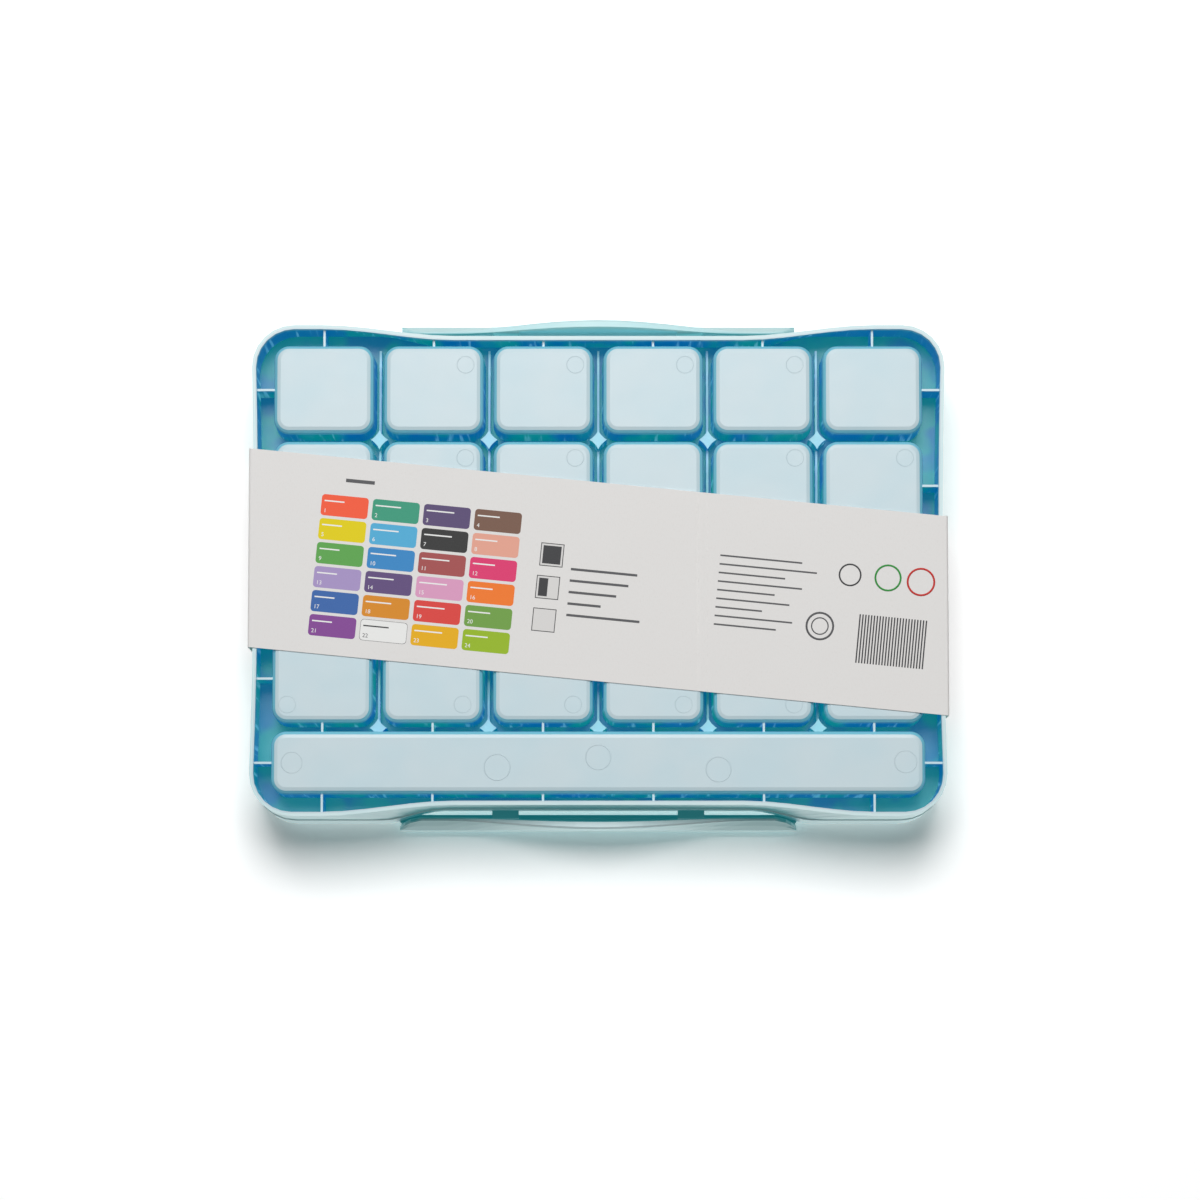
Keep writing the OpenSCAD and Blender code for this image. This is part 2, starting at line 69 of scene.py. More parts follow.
Colour = tuple[float, float, float]


def linear(red: float, green: float, blue: float) -> Colour:
    """Turns a colour as seen on a screen, 0 to 255, into the linear light that shaders take.

    Args:
        red: The red part.
        green: The green part.
        blue: The blue part.

    Returns:
        The linear colour, 0 to 1.
    """

    def curve(part: float) -> float:
        """Returns one part in linear light."""
        share = part / 255.0
        return share / 12.92 if share <= 0.04045 else ((share + 0.055) / 1.055) ** 2.4

    return curve(red), curve(green), curve(blue)


def opaque(colour: Colour) -> tuple[float, float, float, float]:
    """Returns the colour with a full alpha after it."""
    return (*colour, 1.0)


class Tree:
    """A node tree, shader or geometry, to which nodes are added by type."""

    def __init__(self, tree: bpy.types.NodeTree) -> None:
        """Empties the tree and keeps it.

        Args:
            tree: The node tree to fill.
        """
        self.tree = tree
        tree.nodes.clear()

    def add(
        self,
        kind: str,
        settings: Mapping[str, object] | None = None,
        values: Mapping[str | int, object] | None = None,
    ) -> bpy.types.Node:
        """Adds a node, sets it up, then gives its sockets values or links.

        Args:
            kind: The node's type name.
            settings: The node's own settings.
            values: Sockets by name or number, each with a number, a colour, a socket or a signal.

        Returns:
            The new node.
        """
        node = self.tree.nodes.new(kind)
        for name, value in (settings or {}).items():
            setattr(node, name, value)
        for key, value in (values or {}).items():
            if isinstance(value, Signal):
                self.tree.links.new(value.socket, node.inputs[key])
            elif isinstance(value, bpy.types.NodeSocket):
                self.tree.links.new(value, node.inputs[key])
            else:
                node.inputs[key].default_value = value
        return node

    def signal(self, node: bpy.types.Node, output: str | int = 0) -> Signal:
        """Returns one output of a node as a signal."""
        return Signal(self, node.outputs[output])

    def mix(self, share: Signal | float, first: Signal | Colour, second: Signal | Colour) -> Signal:
        """Mixes two colours.

        Args:
            share: How much of the second colour, 0 to 1.
            first: The colour at 0.
            second: The colour at 1.

        Returns:
            The mixed colour.
        """
        sides = [side if isinstance(side, Signal) else opaque(side) for side in (first, second)]
        node = self.add(
            "ShaderNodeMix", {"data_type": "RGBA", "clamp_factor": True}, {0: share, 6: sides[0], 7: sides[1]}
        )
        return self.signal(node, 2)

    def noise(self, place: Signal, scale: float, detail: float = 3.0, roughness: float = 0.5) -> Signal:
        """Returns cloudy noise of a scale over a place, from 0 to 1."""
        values = {"Vector": place, "Scale": scale, "Detail": detail, "Roughness": roughness}
        return self.signal(self.add("ShaderNodeTexNoise", values=values))


@dataclass(frozen=True)
class Signal:
    """One output of a node, with the operators that join values.

    Attributes:
        tree: The tree that holds the node.
        socket: The node's output.
    """

    tree: Tree
    socket: bpy.types.NodeSocket

    def maths(self, operation: str, *others: Signal | float) -> Signal:
        """Joins this value and others in a Math node.

        Args:
            operation: The Math node's operation.
            others: The values after this one.

        Returns:
            The result.
        """
        values = dict(enumerate((self, *others)))
        return self.tree.signal(self.tree.add("ShaderNodeMath", {"operation": operation}, values))

    def _after(self, operation: str, before: float) -> Signal:
        """Joins a plain number and this value, in that order."""
        return self.tree.signal(self.tree.add("ShaderNodeMath", {"operation": operation}, {0: before, 1: self}))

    def __add__(self, other: Signal | float) -> Signal:
        """Adds."""
        return self.maths("ADD", other)

    __radd__ = __add__

    def __sub__(self, other: Signal | float) -> Signal:
        """Subtracts."""
        return self.maths("SUBTRACT", other)

    def __rsub__(self, other: float) -> Signal:
        """Subtracts this value from a number."""
        return self._after("SUBTRACT", other)

    def __mul__(self, other: Signal | float) -> Signal:
        """Multiplies."""
        return self.maths("MULTIPLY", other)

    __rmul__ = __mul__

    def __truediv__(self, other: Signal | float) -> Signal:
        """Divides."""
        return self.maths("DIVIDE", other)

    def __rtruediv__(self, other: float) -> Signal:
        """Divides a number by this value."""
        return self._after("DIVIDE", other)

    def __abs__(self) -> Signal:
        """Drops the sign."""
        return self.maths("ABSOLUTE")

    def at_least(self, other: Signal | float) -> Signal:
        """Returns the greater of two values."""
        return self.maths("MAXIMUM", other)

    def at_most(self, other: Signal | float) -> Signal:
        """Returns the smaller of two values."""
        return self.maths("MINIMUM", other)

    def step(self, low: Signal | float, high: Signal | float) -> Signal:
        """Rises smoothly from 0 to 1 between two values.

        Args:
            low: The input at which the rise starts. It may be the greater of the two.
            high: The input at which it ends.

        Returns:
            The smoothed value.
        """
        node = self.tree.add("ShaderNodeMapRange", {"interpolation_type": "SMOOTHSTEP"}, {0: self, 1: low, 2: high})
        return self.tree.signal(node)


class Recipe(Tree):
    """A material under construction."""

    def __init__(self, name: str) -> None:
        """Starts an empty material.

        Args:
            name: The material's name.
        """
        self.material = bpy.data.materials.new(name)
        self.material.use_nodes = True
        super().__init__(self.material.node_tree)
        self._where = self.add("ShaderNodeTexCoord")

    def place(self, stretch: tuple[float, float, float] = (1.0, 1.0, 1.0)) -> Signal:
        """Finds the place on the object in millimetres, stretched along each axis.

        Args:
            stretch: What x, y and z are multiplied by.

        Returns:
            The place.
        """
        scale = tuple(part / MM for part in stretch)
        values = {"Vector": self._where.outputs["Object"], "Scale": scale}
        return self.signal(self.add("ShaderNodeMapping", values=values))

    def axes(self) -> tuple[Signal, Signal, Signal]:
        """Returns x, y and z on the object, in millimetres."""
        node = self.add("ShaderNodeSeparateXYZ", values={0: self.place()})
        return self.signal(node, 0), self.signal(node, 1), self.signal(node, 2)

    def facing(self) -> tuple[Signal, Signal, Signal]:
        """Returns the surface's direction along x, y and z."""
        node = self.add("ShaderNodeSeparateXYZ", values={0: self._where.outputs["Normal"]})
        return self.signal(node, 0), self.signal(node, 1), self.signal(node, 2)

    def bump(self, height: Signal, depth: float, strength: float = 1.0) -> Signal:
        """Returns a surface direction roughened by a height.

        Args:
            height: The height, 0 to 1.
            depth: What a height of 1 stands for, in millimetres.
            strength: The share of the effect.

        Returns:
            The new direction.
        """
        node = self.add("ShaderNodeBump", values={"Height": height, "Distance": depth * MM, "Strength": strength})
        return self.signal(node)

    def finish(self, **sockets: object) -> bpy.types.Material:
        """Ends the material in one Principled surface.

        Args:
            sockets: The surface's sockets, with an underscore for each space.

        Returns:
            The material.
        """
        values = {name.replace("_", " "): value for name, value in sockets.items()}
        shader = self.add("ShaderNodeBsdfPrincipled", values=values)
        self.add("ShaderNodeOutputMaterial", values={"Surface": shader.outputs[0]})
        return self.material


class Look(Enum):
    """Which of the mint mouldings a finish is for."""

    TRAY = "tray"
    LID = "lid"
    FLAP = "flap"


@dataclass(frozen=True)
class CasePlan:
    """The tray's outline, as the solids have it, in millimetres.

    Attributes:
        half_w: Half the width at the foot of the wall.
        half_d: Half the depth at the foot of the wall.
        corner: Radius of the upright corners.
        hollow: How far the short sides are drawn in.
        recess: How far the long sides are drawn in.
        draw_start: Where along X that draw starts, at the foot.
        draw_full: Where along X it is full, at the foot.
        start_shift: How much farther in it starts at the flange.
        full_shift: How much farther out it is full at the flange.
        lean_x: How far the short sides lean in towards the flange.
        lean_y: How far the long sides lean out towards the flange.
        foot: Height of the foot.
        flange: Height at which the wall meets the flange.
        deck: Height of the deck's underside.
    """

    half_w: float = 156.475
    half_d: float = 111.0
    corner: float = 19.0
    hollow: float = 1.4
    recess: float = 5.0
    draw_start: float = 124.975
    draw_full: float = 65.0
    start_shift: float = 26.975
    full_shift: float = 5.0
    lean_x: float = 0.1
    lean_y: float = 0.4
    foot: float = 0.7
    flange: float = 28.3
    deck: float = 25.9

    def depth_in(self, recipe: Recipe) -> Signal:
        """Measures how far inside the outer wall's face a point lies.

        Args:
            recipe: The material that asks.

        Returns:
            The distance in millimetres, from 0 on the outer face.
        """
        x, y, z = recipe.axes()
        ax, ay = abs(x), abs(y)
        rise = ((z - self.foot) / (self.flange - self.foot)).at_most(1.0).at_least(0.0)
        start = self.draw_start - rise * self.start_shift
        full = self.draw_full + rise * self.full_shift
        draw = ax.step(start, full) * self.recess
        along = (ay / (self.half_d - self.corner)).at_most(1.0)
        half_w = self.half_w - (1.0 - along * along) * self.hollow - rise * self.lean_x
        half_d = self.half_d - draw + rise * self.lean_y
        past_x = (ax - half_w + self.corner).at_least(0.0)
        past_y = (ay - half_d + self.corner).at_least(0.0)
        return self.corner - (past_x * past_x + past_y * past_y).maths("SQRT")


@dataclass(frozen=True)
class MintMoulding:
    """Milky mint plastic, with painted blue and green shade and painted glow standing in for light that goes round
    inside it.

    Attributes:
        look: The moulding that wears it.
        pale: Colour of flat faces in the open.
        outer: Colour of the outer walls.
        aqua: Aqua, painted as shade where a wall turns in and part way down, and as the glow of the rear pockets;
            also mottled in at random.
        blue: Painted shade of the deep walls.
        teal: Painted shade of the deepest floors and of patches on the deep walls, and the painted glow in the
            front pockets and on the flaps' backs.
        sea: Painted shade of the bluer patches of those floors.
        ice: Painted ice-blue of low faces well above the foot.
        shade: Painted shade on the outer wall behind a flap.
        foot_rim: Colour of the foot of the outer wall.
        lid_top: Colour of the lid's top.
        front_slot: Painted shade in the lid's pocket behind the front flap.
        rear_rim: Colour of the rear flap's low edge.
        front_rim: Colour of the front flap's low edge, with painted light that makes it lighter than the rear's.
        flap_back: Painted shade on a flap's side that faces the case.
        dark: Black, for faces with no painted glow.
        faint: Painted glow of the upright outer walls.
        glow: Strength of the painted glow.
    """

    look: Look
    pale: Colour = linear(198, 216, 222)
    outer: Colour = linear(182, 216, 217)
    aqua: Colour = linear(125, 200, 220)
    blue: Colour = linear(0, 94, 150)
    teal: Colour = linear(0, 128, 132)
    sea: Colour = linear(0, 102, 142)
    ice: Colour = linear(150, 208, 222)
    shade: Colour = linear(10, 130, 135)
    foot_rim: Colour = linear(208, 230, 232)
    lid_top: Colour = linear(206, 230, 230)
    front_slot: Colour = linear(0, 112, 130)
    rear_rim: Colour = linear(202, 228, 230)
    front_rim: Colour = linear(226, 245, 247)
    flap_back: Colour = linear(0, 128, 138)
    dark: Colour = (0.0, 0.0, 0.0)
    faint: Colour = linear(74, 112, 113)
    glow: float = 0.62

    def make(self) -> bpy.types.Material:
        """Builds the material.

        Returns:
            The material.
        """
        recipe = Recipe(f"mint_moulding_{self.look.value}")
        place = recipe.place()
        cloud = recipe.noise(place, 0.035, 2.0)
        paint = {Look.TRAY: self._tray, Look.LID: self._lid, Look.FLAP: self._flap}[self.look]
        colour, light = paint(recipe)
        colour = recipe.mix(cloud.step(0.3, 0.75) * 0.12, colour, self.aqua)
        grain = recipe.noise(place, 2.2, 2.0, 0.6)
        sink = recipe.noise(place, 0.06, 1.0)
        normal = recipe.bump(grain * 0.12 + sink, 0.22, 0.5)
        # The emission carries the painted glow, standing in for light passing through the plastic.
        return recipe.finish(
            Base_Color=colour,
            Roughness=0.3 + grain * 0.12,
            Normal=normal,
            IOR=1.49,
            Emission_Color=light,
            Emission_Strength=self.glow,
        )

    @staticmethod
    def _front(y: Signal) -> Signal:
        """Returns 1 on the front half, where the long compartment is, and 0 on the rear half."""
        return y.step(40.0, -40.0)

    def _outer_light(self, recipe: Recipe, nz: Signal) -> Signal:
        """Returns the painted glow of upright outer faces; level ones get none."""
        return recipe.mix(abs(nz).step(0.5, 0.9), self.faint, self.dark)

    def _tray(self, recipe: Recipe) -> tuple[Signal, Signal]:
        """Colours the tray by its depth from the foot and its distance inside the wall, with painted shade and glow
        in its hollows.

        Args:
            recipe: The material.

        Returns:
            The colour, with painted shade, and the painted glow.
        """
        plan = CasePlan()
        x, _, z = recipe.axes()
        _, _, nz = recipe.facing()
        inside = plan.depth_in(recipe)
        patches = recipe.noise(recipe.place((1.0, 1.0, 0.25)), 0.05, 2.0)
        streaks = recipe.noise(recipe.place((1.0, 1.0, 0.04)), 0.42, 2.0)
        # Painted shade: deep walls in blue and teal patches, streaked with aqua.
        deep = recipe.mix(patches.step(0.42, 0.62), self.blue, self.teal)
        deep = recipe.mix(streaks.step(0.56, 0.72) * 0.5, deep, self.aqua)
        # Painted shade: walls go from pale to aqua at the foot's rounding, then to the deep colours further down.
        turn_in = recipe.mix(z.step(0.72, 1.3), self.pale, self.aqua)
        wall = recipe.mix(z.step(1.6, 6.5), turn_in, deep)
        # Painted shade: the floors between the wells in teal and blue patches.
        floor = recipe.mix(patches.step(0.4, 0.6), self.teal, self.sea)
        low_face = (0.0 - nz).step(0.86, 0.995) * z.step(plan.deck - 1.5, plan.deck - 3.0)
        # Painted ice-blue on low faces further down.
        edge = recipe.mix(z.step(4.5, 8.0), self.pale, self.ice)
        below = z.step(plan.deck + 1.35, plan.deck + 1.2)
        lined = nz.step(0.004, 0.02) * inside.step(3.0, 4.0)
        within = inside.step(1.0, 1.5)
        inner = recipe.mix(z.step(plan.deck - 1.0, plan.deck - 0.3), wall, floor)
        # Painted glow: sunk faces inside the wall give out their own deep colour.
        sunk = within * below * (1.0 - lined) * (1.0 - low_face * 0.75) * z.step(1.0, 7.0)
        light = recipe.mix(sunk, self.dark, inner)
        inner = recipe.mix(low_face, inner, edge)
        # Painted aqua on faces turned up inside, growing with depth.
        inner = recipe.mix(lined, inner, recipe.mix(z.step(2.0, 24.0), self.pale, self.aqua))
        inner = recipe.mix(below, self.outer, inner)
        # Painted shade on the outer wall in the recess behind each flap.
        behind = abs(x).step(96.0, 84.0) * z.step(8.0, 20.0) * z.step(30.0, 27.0)
        outer = recipe.mix(behind * 0.75, self.outer, self.shade)
        outer = recipe.mix((0.0 - nz).step(0.6, 0.95), outer, self.foot_rim)
        # Painted glow: faint on upright outer faces.
        light = recipe.mix(within, self._outer_light(recipe, nz), light)
        return recipe.mix(within, outer, inner), light

    def _lid(self, recipe: Recipe) -> tuple[Signal, Signal]:
        """Colours the lid: milky on top, deeper round its edge and inside, with painted shade and glow in the
        pockets behind the flaps.

        Args:
            recipe: The material.

        Returns:
            The colour, with painted shade, and the painted glow.
        """
        x, y, z = recipe.axes()
        _, _, nz = recipe.facing()
        side = recipe.mix(z.step(44.5, 46.2), self.outer, self.lid_top)
        side = recipe.mix((0.0 - nz).step(0.3, 0.9) * 0.5, side, self.aqua)
        # Painted shade and glow in the pockets behind the flaps: teal in front, aqua at the rear.
        slot = abs(x).step(92.4, 91.0) * abs(y).step(100.0, 102.0) * z.step(43.5, 41.0)
        front = self._front(y)
        side = recipe.mix(slot, side, recipe.mix(front, self.aqua, self.front_slot))
        # Painted glow in those pockets.
        shone = slot * abs(x).step(90.4, 84.0) * (0.62 - front * 0.12)
        slot_light = recipe.mix(front, self.aqua, self.teal)
        return side, recipe.mix(shone, self._outer_light(recipe, nz), slot_light)

    def _flap(self, recipe: Recipe) -> tuple[Signal, Signal]:
        """Colours a flap: milky outside, with painted teal shade and glow on the side that faces the case.

        Args:
            recipe: The material.

        Returns:
            The colour, with painted shade and light, and the painted glow.
        """
        _, y, z = recipe.axes()
        _, ny, nz = recipe.facing()
        front = self._front(y)
        turned = y.maths("SIGN") * ny
        low = (0.0 - nz).step(0.3, 0.7)
        # Painted shade on the side that faces the case.
        back = ((0.0 - turned).step(0.2, 0.7) * front).at_least(low * z.step(24.0, 28.0))
        back = (back * (0.2 + front * 0.8)).at_least(abs(y).step(111.6, 110.6) * z.step(34.0, 30.0))
        # The front flap's low edge is painted lighter than the rear's.
        rim = recipe.mix(front, self.rear_rim, self.front_rim)
        face = recipe.mix((0.0 - nz).step(0.4, 0.9), self.outer, rim)
        # Painted glow: faint on outer faces, less or none on faces turned down.
        light = recipe.mix(low * (0.5 + front * 0.5), self.faint, self.dark)
        # Painted teal shade and glow on the side that faces the case.
        return recipe.mix(back * 0.85, face, self.flap_back), recipe.mix(back * 0.45, light, self.teal)


@dataclass(frozen=True)
class PalePlastic:
    """White plastic of the mixing palette.

    Attributes:
        colour: The plastic's colour.
        shade: Its colour in cooler clouds.
    """

    colour: Colour = linear(244, 245, 243)
    shade: Colour = linear(232, 238, 238)

    def make(self) -> bpy.types.Material:
        """Builds the material.

        Returns:
            The material.
        """
        recipe = Recipe("pale_plastic")
        grain = recipe.noise(recipe.place(), 1.6, 2.0)
        sink = recipe.noise(recipe.place(), 0.05, 1.0)
        colour = recipe.mix(sink.step(0.35, 0.7) * 0.3, self.colour, self.shade)
        normal = recipe.bump(grain * 0.1 + sink, 0.2, 0.4)
        return recipe.finish(Base_Color=colour, Roughness=0.22 + grain * 0.1, Normal=normal, IOR=1.49)


@dataclass(frozen=True)
class ClearPlastic:
    """Thin clear plastic of the cups.

    Attributes:
        colour: The plastic's colour.
        shade: Its colour where it is thicker.
        alpha: How much of it is seen.
    """

    colour: Colour = linear(236, 242, 242)
    shade: Colour = linear(222, 232, 234)
    alpha: float = 0.55

    def make(self) -> bpy.types.Material:
        """Builds the material.

        Returns:
            The material.
        """
        recipe = Recipe("clear_plastic")
        sink = recipe.noise(recipe.place(), 0.09, 1.0)
        colour = recipe.mix(sink, self.colour, self.shade)
        normal = recipe.bump(sink, 0.1, 0.4)
        return recipe.finish(Base_Color=colour, Roughness=0.12, Alpha=self.alpha, Normal=normal, IOR=1.5)


@dataclass(frozen=True)
class SealFilm:
    """Peel-off film with a pressed cross-hatch.

    Attributes:
        colour: The film's colour.
        shade: Its colour in the creases.
        pitch: Distance between the pressed lines, in millimetres.
    """

    colour: Colour = linear(240, 240, 238)
    shade: Colour = linear(222, 224, 224)
    pitch: float = 1.2

    def make(self) -> bpy.types.Material:
        """Builds the material.

        Returns:
            The material.
        """
        recipe = Recipe("seal_film")
        x, y, _ = recipe.axes()
        turn = 2.0 * math.pi / self.pitch
        hatch = ((x + y) * turn).maths("SINE") * ((x - y) * turn).maths("SINE")
        crease = recipe.noise(recipe.place(), 0.12, 3.0)
        colour = recipe.mix(crease.step(0.4, 0.7) * 0.4, self.colour, self.shade)
        normal = recipe.bump(hatch * 0.3 + crease, 0.12, 0.6)
        return recipe.finish(Base_Color=colour, Roughness=0.35 + crease * 0.2, Normal=normal)


@dataclass(frozen=True)
class Gouache:
    """Matt opaque paint with a levelled top.

    Attributes:
        name: The material's name.
        colour: The paint's linear colour.
        darker: Share of that colour in its darker streaks.
    """

    name: str
    colour: Colour
    darker: float = 0.8

    def make(self) -> bpy.types.Material:
        """Builds the material.

        Returns:
            The material.
        """
        recipe = Recipe(self.name)
        flow = recipe.noise(recipe.place(), 0.16, 3.0, 0.55)
        dark = tuple(part * self.darker for part in self.colour)
        colour = recipe.mix(flow.step(0.35, 0.7) * 0.5, self.colour, dark)
        return recipe.finish(Base_Color=colour, Roughness=0.5 + flow * 0.3, Normal=recipe.bump(flow, 0.5, 0.6))


@dataclass(frozen=True)
class BandCard:
    """Uncoated pale card with faint fibres.

    Attributes:
        colour: The card's colour.
        fibre: Colour of its fibres.
    """

    colour: Colour = linear(234, 232, 230)
    fibre: Colour = linear(221, 218, 214)

    def make(self) -> bpy.types.Material:
        """Builds the material.

        Returns:
            The material.
        """
        recipe = Recipe("band_card")
        fine = recipe.noise(recipe.place((1.0, 0.4, 1.0)), 1.7, 4.0, 0.65)
        broad = recipe.noise(recipe.place(), 0.03, 2.0)
        colour = recipe.mix(fine.step(0.5, 0.8) * 0.35 + broad * 0.15, self.colour, self.fibre)
        return recipe.finish(
            Base_Color=colour,
            Roughness=0.62 + fine * 0.2,
            Normal=recipe.bump(fine + broad * 2.0, 0.05, 0.5),
            Specular_IOR_Level=0.3,
        )


@dataclass(frozen=True)
class PrintedInk:
    """Printing ink, in the colour that each printed shape carries.

    Attributes:
        tint: Name of the mesh attribute that holds the colours.
        bare: Colour of the card where the ink is thin.
    """

    tint: str = "ink"
    bare: Colour = linear(240, 240, 238)

    def make(self) -> bpy.types.Material:
        """Builds the material.

        Returns:
            The material.
        """
        recipe = Recipe("printed_ink")
        tint = recipe.add("ShaderNodeAttribute", {"attribute_name": self.tint})
        mottle = recipe.noise(recipe.place(), 2.5, 3.0)
        colour = recipe.mix(mottle.step(0.55, 0.8) * 0.05, recipe.signal(tint, "Color"), self.bare)
        return recipe.finish(Base_Color=colour, Roughness=0.5 + mottle * 0.15, Specular_IOR_Level=0.12)


def mesh_piece(
    name: str,
    points: Sequence[Sequence[float]],
    faces: Sequence[Sequence[int]],
    material: bpy.types.Material | None = None,
) -> bpy.types.Object:
    """Makes an object at the origin from points in millimetres.

    Args:
        name: The piece's name.
        points: Its points, in millimetres.
        faces: Its faces, as numbers of points.
        material: What it wears.

    Returns:
        The object.
    """
    mesh = bpy.data.meshes.new(name)
    places = [[part * MM for part in point] for point in points]
    mesh.from_pydata(places, [], [list(face) for face in faces])
    mesh.validate()
    if material:
        mesh.materials.append(material)
    piece = bpy.data.objects.new(name, mesh)
    bpy.context.scene.collection.objects.link(piece)
    return piece


def face_outwards(mesh: bpy.types.Mesh) -> None:
    """Turns the faces of closed shapes outwards.

    Args:
        mesh: The mesh that holds the shapes.
    """
    shape = bmesh.new()
    shape.from_mesh(mesh)
    bmesh.ops.recalc_face_normals(shape, faces=shape.faces)
    shape.to_mesh(mesh)
    shape.free()


def face_down(mesh: bpy.types.Mesh) -> None:
    """Turns a mesh of flat shapes to face down."""
    if mesh.polygons[0].normal.z > 0.0:
        mesh.flip_normals()


def settle(piece: bpy.types.Object) -> bpy.types.Mesh:
    """Gives a piece what its modifiers build as its plain mesh.

    Args:
        piece: The piece, which loses its modifiers.

    Returns:
        The plain mesh.
    """
    held = piece.evaluated_get(bpy.context.evaluated_depsgraph_get())
    mesh = bpy.data.meshes.new_from_object(held)
    piece.modifiers.clear()
    piece.data = mesh
    return mesh


def spaced(start: float, end: float, count: int) -> list[float]:
    """Returns the values between a start and an end, both left out, that cut the way into even steps."""
    return [start + (end - start) * step / count for step in range(1, count)]


def dress(node: str, material: bpy.types.Material) -> None:
    """Gives a node's solid a material.

    Args:
        node: The node's name.
        material: What it wears.
    """
    solid = frame["nodes"][node]
    if not solid.material_slots:
        solid.data.materials.append(material)
    for place in solid.material_slots:
        place.material = material
    LOG.info("%s wears %s", node, material.name)


def add_points(
    name: str, places: Sequence[Vector], values: Mapping[str, tuple[str, Sequence[object]]]
) -> bpy.types.Object:
    """Makes a cloud of points that carry values, for a stamp to repeat a shape on.

    Args:
        name: The piece's name.
        places: The points, in millimetres.
        values: For each attribute its type and its value at each point.

    Returns:
        The object.
    """
    piece = mesh_piece(name, places, [])
    for key, (kind, entries) in values.items():
        layer = piece.data.attributes.new(key, kind, "POINT")
        field_name = {"FLOAT_COLOR": "color", "FLOAT_VECTOR": "vector", "FLOAT": "value"}[kind]
        for item, entry in zip(layer.data, entries):
            setattr(item, field_name, entry)
    return piece


class Outline(Enum):
    """The shape that a stamp repeats."""

    PLATE = "plate"
    RING = "ring"


@dataclass(frozen=True)
class Stamp:
    """A geometry tree that puts one flat shape on every point of a piece.

    Attributes:
        outline: The shape.
        width: Its width, or a ring's diameter, in millimetres.
        height: Its height, in millimetres; a ring's line, where the shape is a ring.
        corner: Radius of its corners, in millimetres.
        turn: How far it is turned about Z, in degrees.
        relief: Thickness of a ring's line, in millimetres.
        corner_steps: How many points round a corner.
        ring_steps: How many points round a ring.
    """

    outline: Outline
    width: float
    height: float
    corner: float = 0.0
    turn: float = 0.0
    relief: float = 0.02
    corner_steps: int = 4
    ring_steps: int = 28

    def press(self, piece: bpy.types.Object, material: bpy.types.Material) -> bpy.types.Object:
        """Repeats the shape on the piece's points, and leaves a plain mesh.

        Args:
            piece: A cloud of points, with a "size" at each.
            material: What the shapes wear.

        Returns:
            The same piece, now with the shapes as its mesh.
        """
        group = bpy.data.node_groups.new(f"{piece.name}_stamp", "GeometryNodeTree")
        face = group.interface
        face.new_socket("Geometry", in_out="INPUT", socket_type="NodeSocketGeometry")
        for title in ("Width", "Height", "Corner", "Turn"):
            face.new_socket(title, in_out="INPUT", socket_type="NodeSocketFloat")
        face.new_socket("Material", in_out="INPUT", socket_type="NodeSocketMaterial")
        face.new_socket("Geometry", in_out="OUTPUT", socket_type="NodeSocketGeometry")
        self._fill(Tree(group))
        modifier = piece.modifiers.new("stamp", "NODES")
        modifier.node_group = group
        given = {"Width": self.width * MM, "Height": self.height * MM, "Corner": self.corner * MM}
        given |= {"Turn": math.radians(self.turn), "Material": material}
        for socket in face.items_tree:
            if socket.in_out == "INPUT" and socket.name in given:
                modifier[socket.identifier] = given[socket.name]
        mesh = settle(piece)
        if self.outline is Outline.RING:
            face_outwards(mesh)
        return piece

    def _fill(self, tree: Tree) -> None:
        """Adds the stamp's nodes.

        Args:
            tree: The empty tree.
        """
        start = tree.add("NodeGroupInput")
        given = start.outputs
        if self.outline is Outline.PLATE:
            sides = {0: given["Width"], 1: given["Height"]}
            line = tree.add("GeometryNodeCurvePrimitiveQuadrilateral", values=sides)
            rounding = {"Curve": line.outputs[0], "Radius": given["Corner"], "Count": self.corner_steps}
            soft = tree.add("GeometryNodeFilletCurve", {"mode": "POLY"}, rounding)
            shape = tree.add("GeometryNodeFillCurve", values={"Curve": soft.outputs[0]})
        else:
            half = tree.add("ShaderNodeMath", {"operation": "DIVIDE"}, {0: given["Width"], 1: 2.0})
            circle = {"Resolution": self.ring_steps, "Radius": half.outputs[0]}
            line = tree.add("GeometryNodeCurvePrimitiveCircle", values=circle)
            section = {0: given["Height"], 1: self.relief * MM}
            flat = tree.add("GeometryNodeCurvePrimitiveQuadrilateral", values=section)
            curves = {"Curve": line.outputs[0], "Profile Curve": flat.outputs[0]}
            shape = tree.add("GeometryNodeCurveToMesh", values=curves)
        turn = tree.add("ShaderNodeCombineXYZ", values={2: given["Turn"]})
        size = tree.add("GeometryNodeInputNamedAttribute", {"data_type": "FLOAT_VECTOR"}, {"Name": "size"})
        copies = tree.add(
            "GeometryNodeInstanceOnPoints",
            values={
                "Points": given["Geometry"],
                "Instance": shape.outputs[0],
                "Rotation": turn.outputs[0],
                "Scale": size.outputs[0],
            },
        )
        real = tree.add("GeometryNodeRealizeInstances", values={"Geometry": copies.outputs[0]})
        wearing = {"Geometry": real.outputs[0], "Material": given["Material"]}
        worn = tree.add("GeometryNodeSetMaterial", values=wearing)
        tree.add("NodeGroupOutput", values={0: worn.outputs[0]})


